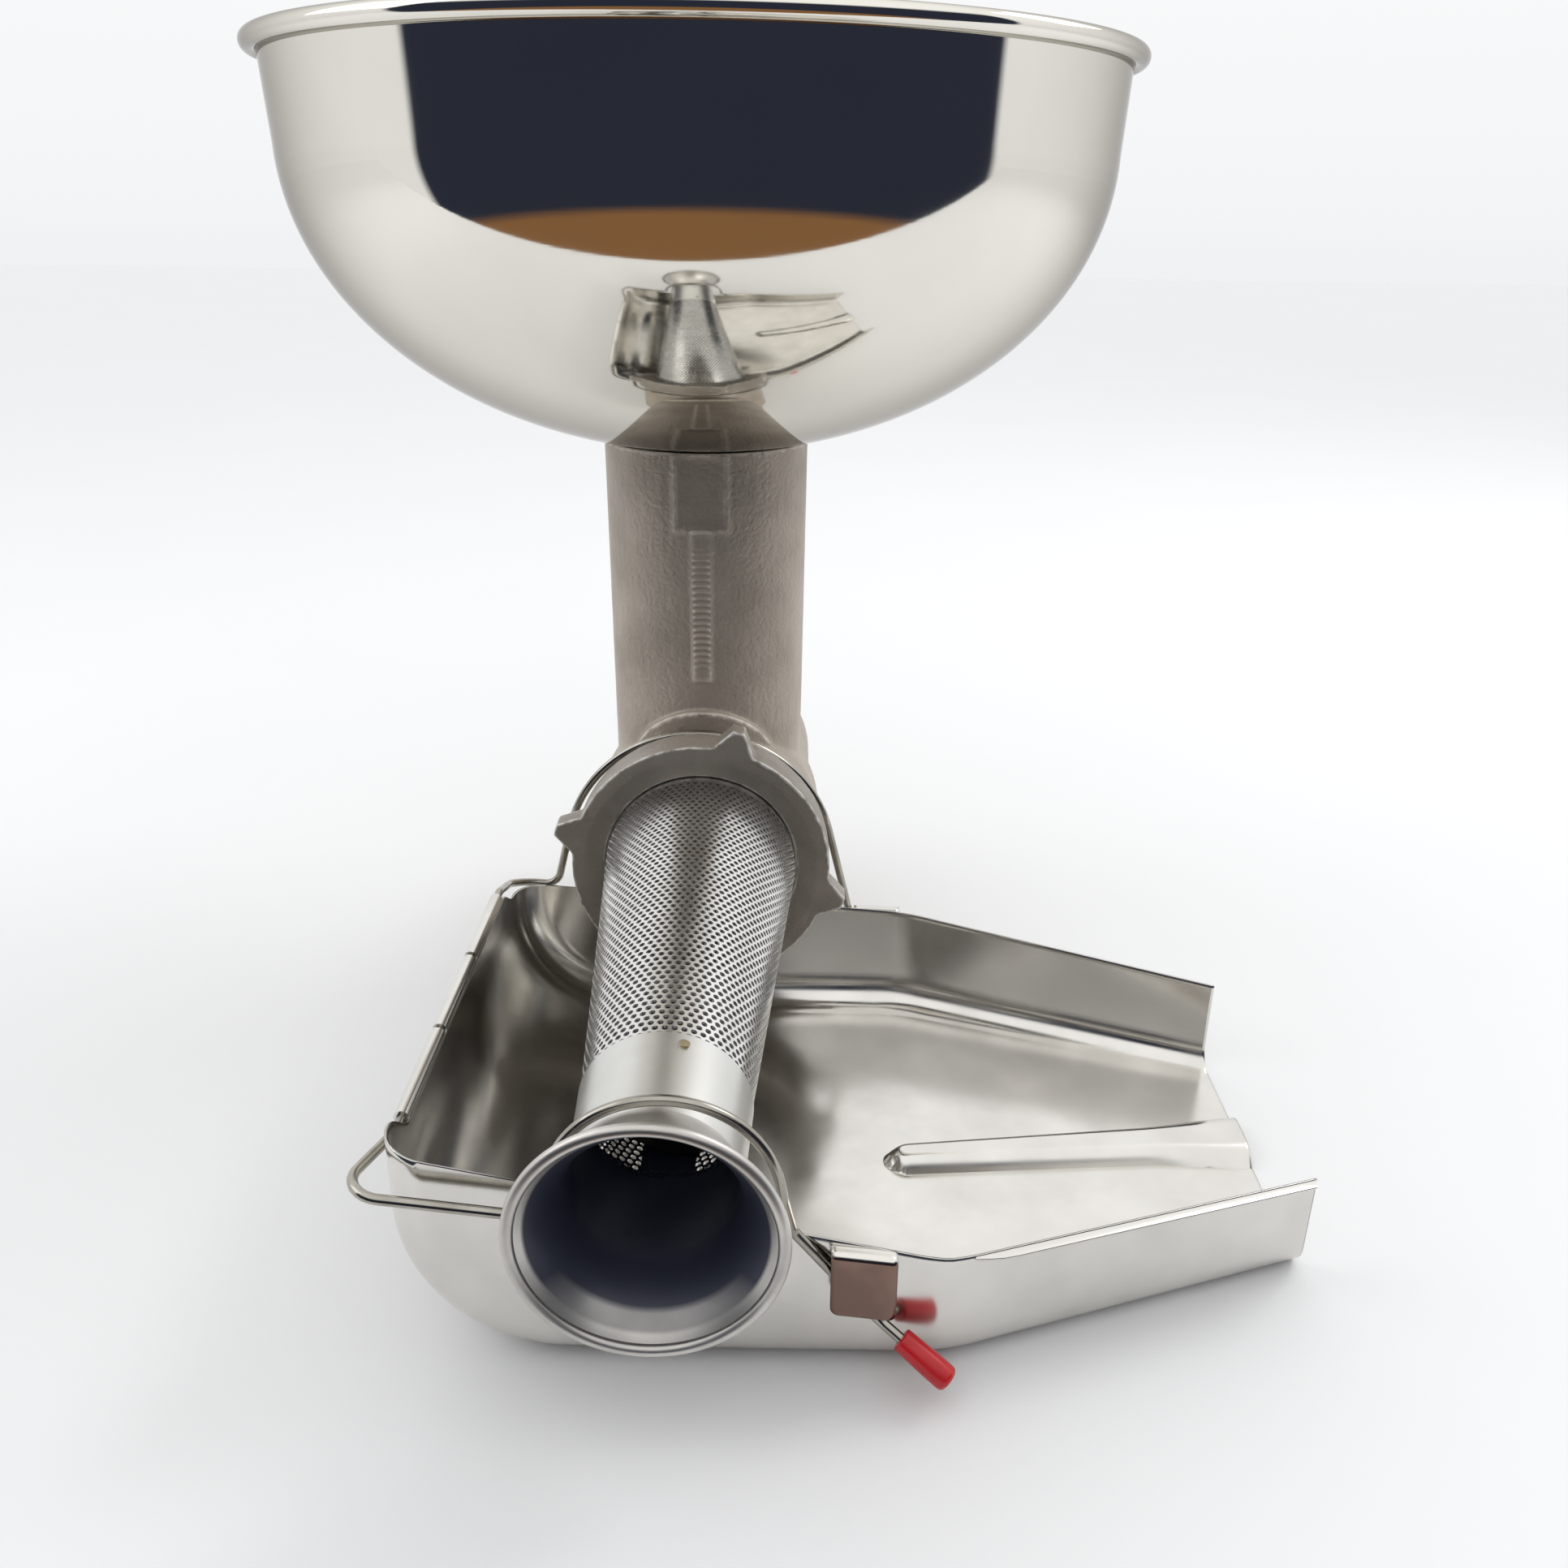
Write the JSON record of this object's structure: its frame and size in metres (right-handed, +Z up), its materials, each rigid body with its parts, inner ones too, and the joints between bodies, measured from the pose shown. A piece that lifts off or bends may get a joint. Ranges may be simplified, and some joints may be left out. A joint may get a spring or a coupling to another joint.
{
  "type": "tomato milling head",
  "caption": "Motor-driven tomato milling head: hopper bowl on a cast body, lugged ring nut, perforated strainer cone with bell outlet, and a spouted drip tray held by a spring-wire bail.",
  "frame": {"origin": "on the barrel's axis, at the shoulder that meets the motor", "axes": "+Y along the barrel towards the motor, +Z up through the neck and hopper, +X towards the tray's spout"},
  "size_m": [0.3453, 0.4184, 0.3515],
  "materials": {
    "polished_steel": "mirror-polished stainless sheet",
    "satin_steel": "satin stainless",
    "tinned_casting": "tinned casting with a fine grain",
    "bush_bronze": "machined bronze",
    "black_rubber": "matt",
    "screw_plastic": "matt moulded, dark",
    "spring_wire": "drawn stainless wire",
    "red_plastic": "moulded, slight gloss"
  },
  "bodies": {
    "head": {"body_casting": "tinned_casting", "locating_dowel": "satin_steel", "rear_bush": "bush_bronze", "shaft_seal": "black_rubber", "thrust_washer": "screw_plastic", "drip_tray": "polished_steel"},
    "hopper": {"hopper_bowl": "polished_steel", "hopper_spigot": "satin_steel"},
    "auger": {"auger_shaft": "satin_steel", "drive_pin": "satin_steel", "retaining_clip": "satin_steel", "auger_screw": "screw_plastic"},
    "strainer": {"strainer_flange": "satin_steel", "strainer_gasket": "black_rubber", "strainer_cone": "satin_steel", "outlet_collar": "satin_steel", "collar_rivet": "satin_steel", "outlet_flare": "polished_steel"},
    "nut": {"ring_nut": "tinned_casting"},
    "bail": {"bail_wire": "spring_wire", "front_bail_end": "spring_wire", "rear_bail_end": "spring_wire", "front_grip_tip": "red_plastic", "rear_grip_tip": "red_plastic"}
  },
  "joints": [
    {"name": "auger_spin", "type": "hinge", "parent": "head", "child": "auger", "pos_m": [0, 0, 0], "axis": [0, 1, 0], "continuous": true},
    {"name": "hopper_lift", "type": "slide", "parent": "head", "child": "hopper", "axis": [0, 0, 1], "range_m": [0, 0.06]},
    {"name": "strainer_slide", "type": "slide", "parent": "head", "child": "strainer", "axis": [0, -1, 0], "range_m": [0, 0.0076]},
    {"name": "ring_nut_turn", "type": "hinge", "parent": "strainer", "child": "nut", "pos_m": [0, -0.117, 0], "axis": [0, -1, 0], "range_deg": [0, 900]},
    {"name": "bail_swing", "type": "hinge", "parent": "head", "child": "bail", "pos_m": [-0.07615, -0.20375, -0.008], "axis": [0, -1, 0], "range_deg": [0, 65], "deforming": ["front_bail_end", "rear_bail_end"]}
  ],
  "couplings": [
    {"joint": "strainer_slide", "follows": "ring_nut_turn", "m_per_rad": 0.00047746}
  ]
}
